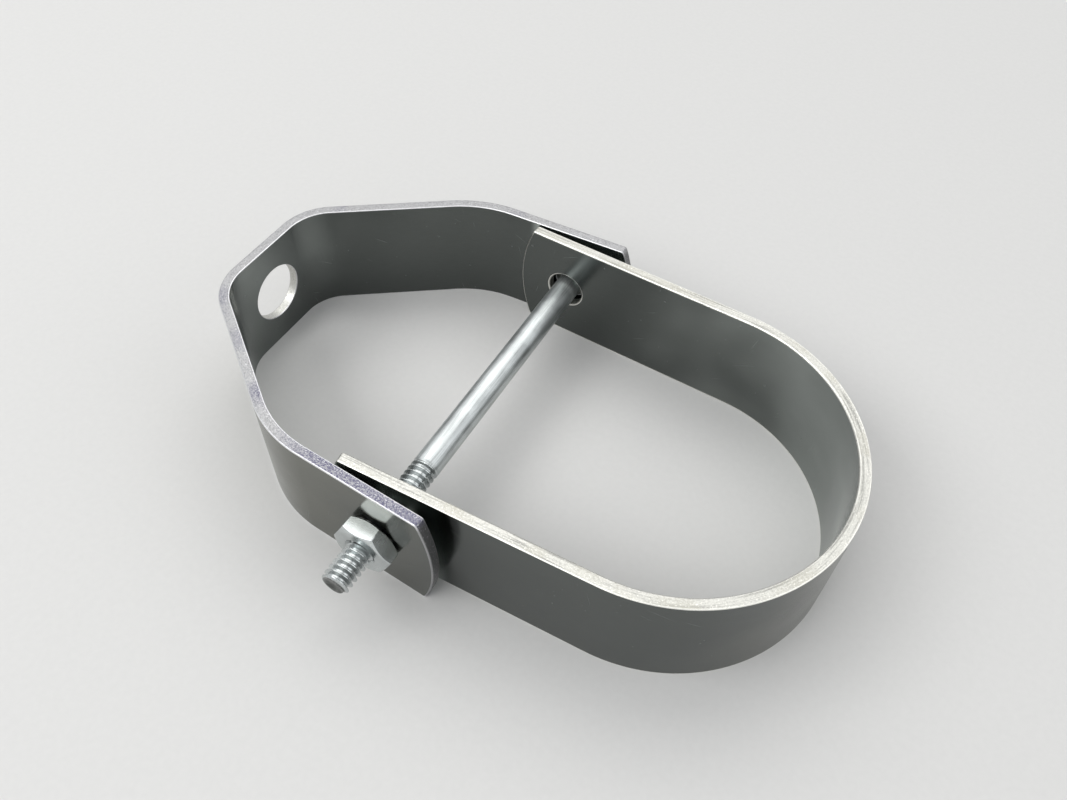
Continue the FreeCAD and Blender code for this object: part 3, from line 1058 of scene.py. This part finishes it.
class HANGER_OT_yoke(bpy.types.Operator):
    """Make the yoke: a strip bent to a flat top, two shoulders and two flared ears"""
    bl_idname = "hanger.yoke"
    bl_label = "Yoke"

    def execute(self, context):
        scene = context.scene
        shape = HangerShape(scene)
        sizes = scene.hanger_yoke
        run_y = shape.ear_corner - sizes.top_half
        shoulder = atan2(run_y, sizes.shoulder_depth)
        top_turn = pi / 2 - shoulder
        ear_turn = shoulder - shape.flare
        top_radius = sizes.top_bend + shape.half_thick
        ear_radius = sizes.shoulder_bend + shape.half_thick
        top_tangent = top_radius * tan(top_turn / 2)
        ear_tangent = ear_radius * tan(ear_turn / 2)
        ear_run = (shape.shoulder_to_bolt + sizes.ear_reach) / cos(shape.flare)
        shoulder_run = hypot(sizes.shoulder_depth, run_y) - ear_tangent - top_tangent
        half = [(ear_run - ear_tangent, 0.0), (ear_radius, -ear_turn),
                (shoulder_run, 0.0), (top_radius, -top_turn)]
        top = (2 * (sizes.top_half - top_tangent), 0.0)
        start = (shape.half_thick + sizes.shoulder_depth + ear_run * cos(shape.flare),
                 -(shape.ear_corner + ear_run * sin(shape.flare)))
        line = FoldLine(start, pi - shape.flare, half + [top] + half[::-1])
        ear_hole = line.length / 2 - sizes.ear_reach / cos(shape.flare)
        holes = [(-ear_hole, shape.hole_radius), (0.0, sizes.rod_hole / 2), (ear_hole, shape.hole_radius)]
        finish = scene.hanger_finish
        near_end = -line.length / 2
        edge = edge_finish(
            "zinc_yoke_edge", finish.yoke_edge, finish.strap_edge, finish.yoke_patch,
            patch_scale=62.0, patch_level=0.58,
            patch_places=[(near_end + 11 * MM, 19 * MM), (near_end + 35 * MM, 14 * MM)],
            lined=0.1, speckled=0.6, fleck_and_highlight_gain=2.0)
        face = face_finish(
            "zinc_yoke_face", finish.face, reflection_middle=-36 * MM, reflection_reach=60 * MM,
            outer_side=1, gap_light_from=ear_hole - scene.hanger_strap.ear_reach)
        bent_piece("yoke", line, holes, shape, scene, face, edge)
        return {"FINISHED"}


class HANGER_OT_strap(bpy.types.Operator):
    """Make the strap: a strip bent to a half-round pipe seat with two ears"""
    bl_idname = "hanger.strap"
    bl_label = "Strap"

    def execute(self, context):
        scene = context.scene
        shape = HangerShape(scene)
        sizes = scene.hanger_strap
        lean = shape.lean
        run = (sizes.seat_to_bolt + sizes.ear_reach) / cos(lean) + shape.seat_middle * tan(lean)
        start = (shape.seat_x + shape.seat_middle * sin(lean) - run * cos(lean),
                 -shape.seat_middle * cos(lean) - run * sin(lean))
        line = FoldLine(start, lean, [(run, 0.0), (shape.seat_middle, pi - 2 * lean), (run, 0.0)])
        ear_hole = line.length / 2 - sizes.ear_reach / cos(lean)
        holes = [(-ear_hole, shape.hole_radius), (ear_hole, shape.hole_radius)]
        finish = scene.hanger_finish
        edge = edge_finish(
            "zinc_strap_edge", finish.strap_edge, finish.strap_edge, finish.strap_patch,
            patch_scale=150.0, patch_level=0.52, patch_places=[],
            lined=0.8, speckled=0.35, fleck_and_highlight_gain=1.5)
        face = face_finish(
            "zinc_strap_face", finish.face, reflection_middle=15 * MM, reflection_reach=47 * MM,
            outer_side=-1, gap_light_from=ear_hole - scene.hanger_yoke.ear_reach)
        bent_piece("strap", line, holes, shape, scene, face, edge)
        return {"FINISHED"}


class HANGER_OT_cross_bolt(bpy.types.Operator):
    """Make the cross bolt, with its hexagonal head and rolled thread"""
    bl_idname = "hanger.cross_bolt"
    bl_label = "Cross bolt"

    def execute(self, context):
        shape = HangerShape(context.scene)
        sizes = context.scene.hanger_fasteners
        finish = context.scene.hanger_finish
        material = bolt_finish(finish.fastener, finish.bolt_end, shape, sizes)
        radius = sizes.diameter / 2
        shank = sizes.bolt_length - sizes.thread_length
        loops = [round_loop(radius + HEAD_FILLET * (1 - sin(a)), HEAD_FILLET * (1 - cos(a)))
                 for a in quarter_turn(FILLET_STEPS)]
        loops += [round_loop(radius, HEAD_FILLET + (shank - HEAD_FILLET) * k / SHANK_STEPS)
                  for k in range(1, SHANK_STEPS + 1)]
        bm = bmesh.new()
        loft(bm, loops)
        thread = thread_mesh(False, radius, radius - sizes.thread_depth, sizes.thread_length, 0.0, material)
        add_mesh(bm, thread, Matrix.Translation((0, 0, shank)))
        bmesh.ops.remove_doubles(bm, verts=bm.verts, dist=WELD)
        self.dish(bm, sizes)
        bmesh.ops.transform(bm, matrix=along_bolt(shape, shape.seat_y, -1), verts=bm.verts)
        head = bmesh.new()
        rows = loft(head, hex_shell(sizes, sizes.head_height, HEAD_OPENING, False))
        cap(head, rows[0])
        cap(head, rows[-1])
        add_mesh(bm, softened(head, sizes.edge_round), along_bolt(shape, shape.seat_y, 1))
        bmesh.ops.recalc_face_normals(bm, faces=bm.faces)
        mesh = fastener_mesh(bm, "bolt", material)
        finish_piece("threaded_bolt", mesh, "bolt", "cross_bolt")
        return {"FINISHED"}

    def dish(self, bm, sizes):
        """Close the end of the thread with a shallow hollow."""
        end = sizes.bolt_length
        edges = [e for e in bm.edges if e.is_boundary
                 and all(v.co.z > end - END_REACH for v in e.verts)]
        for share, depth in DISH_RINGS:
            grown = bmesh.ops.extrude_edge_only(bm, edges=edges)["geom"]
            edges = [g for g in grown if isinstance(g, bmesh.types.BMEdge)
                     and all(v in grown for v in g.verts)]
            for v in {v for e in edges for v in e.verts}:
                ring = v.co.xy.normalized() * (sizes.diameter / 2 - POINT_FALL) * share
                v.co = (ring.x, ring.y, end - depth * sizes.point_dish)
            edges = [e for e in edges if e.is_boundary]
        centre = bm.verts.new((0, 0, end - sizes.point_dish))
        for e in edges:
            bm.faces.new((e.verts[0], e.verts[1], centre))


class HANGER_OT_hex_nut(bpy.types.Operator):
    """Make the nut, chamfered on both faces and threaded"""
    bl_idname = "hanger.hex_nut"
    bl_label = "Nut"

    def execute(self, context):
        shape = HangerShape(context.scene)
        sizes = context.scene.hanger_fasteners
        material = nut_finish(context.scene.hanger_finish.fastener)
        crest = sizes.diameter / 2 + sizes.thread_clearance
        root = crest - sizes.thread_depth * NUT_THREAD_SHARE
        offset = shape.thread_y + shape.seat_y
        body = bmesh.new()
        loft(body, hex_shell(sizes, sizes.nut_height, crest + sizes.nut_lead, True))
        bm = bmesh.new()
        add_mesh(bm, softened(body, sizes.edge_round))
        add_mesh(bm, thread_mesh(True, crest, root, sizes.nut_height, offset, material))
        bmesh.ops.transform(bm, matrix=along_bolt(shape, -shape.seat_y, -1), verts=bm.verts)
        mesh = fastener_mesh(bm, "nut", material)
        finish_piece("threaded_nut", mesh, "nut", "hex_nut")
        return {"FINISHED"}


def lamp(name, spot, size, power, tone):
    """A soft oblong lamp that points at the middle of the stage."""
    light = bpy.data.lights.new(name, "AREA")
    light.shape = "RECTANGLE"
    light.size, light.size_y = size
    light.energy = power
    light.color = tone
    item = placed(name, light)
    item.location = spot
    item.rotation_euler = (Vector(STAGE_MIDDLE) - Vector(spot)).to_track_quat("-Z", "Y").to_euler()


def pale_where_seen(make, shader, pale_kind, share=1.0):
    """A shader that gives way to the backdrop, by a share, on the rays that show it to the camera."""
    path = make.add("ShaderNodeLightPath").outputs
    seen = Field(make, path["Is Camera Ray"]).at_least(path["Is Glossy Ray"])
    seen = seen.at_least(path["Is Transmission Ray"])
    pale = make.add(pale_kind, Color=BACKDROP, Strength=1.0)
    mix = make.add("ShaderNodeMixShader")
    for socket, value in zip(mix.inputs, (seen * share, shader.outputs[0], pale.outputs[0])):
        make.feed(socket, value)
    return mix.outputs[0]


class HANGER_OT_stage(bpy.types.Operator):
    """Make the floor, the lamps, the world and the camera"""
    bl_idname = "hanger.stage"
    bl_label = "Stage"

    def execute(self, context):
        scene = context.scene
        self.add_floor(scene)
        self.light_world(scene)
        lamp("key_lamp", (-0.25, 0.5, 0.95), size=(1.35, 0.8), power=5.0, tone=(1.0, 0.99, 0.97))
        lamp("side_lamp", (0.85, 0.25, 0.6), size=(0.6, 0.6), power=0.9, tone=(0.97, 0.98, 1.0))
        lamp("front_lamp", (-0.35, -0.58, 0.71), size=(1.05, 0.44), power=5.2, tone=(1.0, 1.0, 1.0))
        self.add_camera(scene)
        scene.view_settings.view_transform = "Standard"
        return {"FINISHED"}

    def add_floor(self, scene):
        """A pale floor that fades into the backdrop."""
        tone = scene.hanger_finish.floor
        bm = bmesh.new()
        bmesh.ops.create_grid(bm, x_segments=8, y_segments=8, size=FLOOR_REACH,
                              matrix=Matrix.Translation((0, 0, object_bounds()[0].z)))
        mesh = as_mesh(bm, "floor")
        floor = placed("floor", mesh)
        material, make, shader = new_material("pale_floor")
        spot = make.add("ShaderNodeTexCoord").outputs["Object"]
        grain = make.noise(spot, 900.0, 3.0)
        tint = grain.blend(shade(tone, 0.97), shade(tone, 1.03))
        dress(make, shader, tint, 0.75, grain, strength=0.1, depth=0.1 * MM, metallic=0.0)
        from_middle = make.vector("LENGTH", make.vector("SUBTRACT", spot, make.combine(*STAGE_MIDDLE)))
        fade = from_middle.spread(FADE_START, FADE_END, ramp="SMOOTHSTEP")
        output = material.node_tree.get_output_node("ALL")
        make.feed(output.inputs["Surface"], pale_where_seen(make, shader, "ShaderNodeEmission", fade))
        mesh.materials.append(material)
        floor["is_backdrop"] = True

    def light_world(self, scene):
        """A soft light from all sides, which shows as the backdrop."""
        world = bpy.data.worlds.new("studio")
        world.use_nodes = True
        scene.world = world
        world.node_tree.nodes.clear()
        make = TreeMaker(world.node_tree)
        soft = make.add("ShaderNodeBackground", Color=(0.95, 0.97, 1.0, 1.0), Strength=0.5)
        make.add("ShaderNodeOutputWorld", Surface=pale_where_seen(make, soft, "ShaderNodeBackground"))

    def add_camera(self, scene):
        """A camera where the photograph was taken from."""
        view = scene.hanger_view
        camera = bpy.data.cameras.new("camera")
        camera.sensor_width = SENSOR_WIDTH
        camera.lens = view.lens
        camera.clip_start = 0.005
        way = Vector(view.aim) - Vector(view.position)
        level = way.to_track_quat("-Z", "Y").to_matrix().to_4x4()
        scene.camera = placed("camera", camera)
        scene.camera.matrix_world = (Matrix.Translation(view.position) @ level
                                     @ Matrix.Rotation(view.roll, 4, "Z"))


class HANGER_PT_panel(bpy.types.Panel):
    """Buttons that make the hanger's pieces"""
    bl_label = "Clevis pipe hanger"
    bl_idname = "HANGER_PT_panel"
    bl_space_type = "VIEW_3D"
    bl_region_type = "UI"
    bl_category = "Hanger"

    def draw(self, context):
        for kind in OPERATORS:
            self.layout.operator(kind.bl_idname)
        for group, name in GROUPS.items():
            box = self.layout.box()
            box.label(text=group.__doc__)
            for key in group.__annotations__:
                box.prop(getattr(context.scene, name), key)


OPERATORS = (HANGER_OT_yoke, HANGER_OT_strap, HANGER_OT_cross_bolt, HANGER_OT_hex_nut, HANGER_OT_stage)
GROUPS = {
    HangerStripSizes: "hanger_strip",
    HangerYokeSizes: "hanger_yoke",
    HangerStrapSizes: "hanger_strap",
    HangerFastenerSizes: "hanger_fasteners",
    HangerFinish: "hanger_finish",
    HangerView: "hanger_view",
}


def register():
    for group, name in GROUPS.items():
        bpy.utils.register_class(group)
        setattr(bpy.types.Scene, name, PointerProperty(type=group))
    for kind in (*OPERATORS, HANGER_PT_panel):
        bpy.utils.register_class(kind)


def unregister():
    for kind in (HANGER_PT_panel, *reversed(OPERATORS)):
        bpy.utils.unregister_class(kind)
    for group, name in reversed(list(GROUPS.items())):
        delattr(bpy.types.Scene, name)
        bpy.utils.unregister_class(group)


def main():
    register()
    bpy.ops.hanger.yoke()
    bpy.ops.hanger.strap()
    bpy.ops.hanger.cross_bolt()
    bpy.ops.hanger.hex_nut()
    bpy.ops.hanger.stage()


if __name__ == "__main__":
    main()
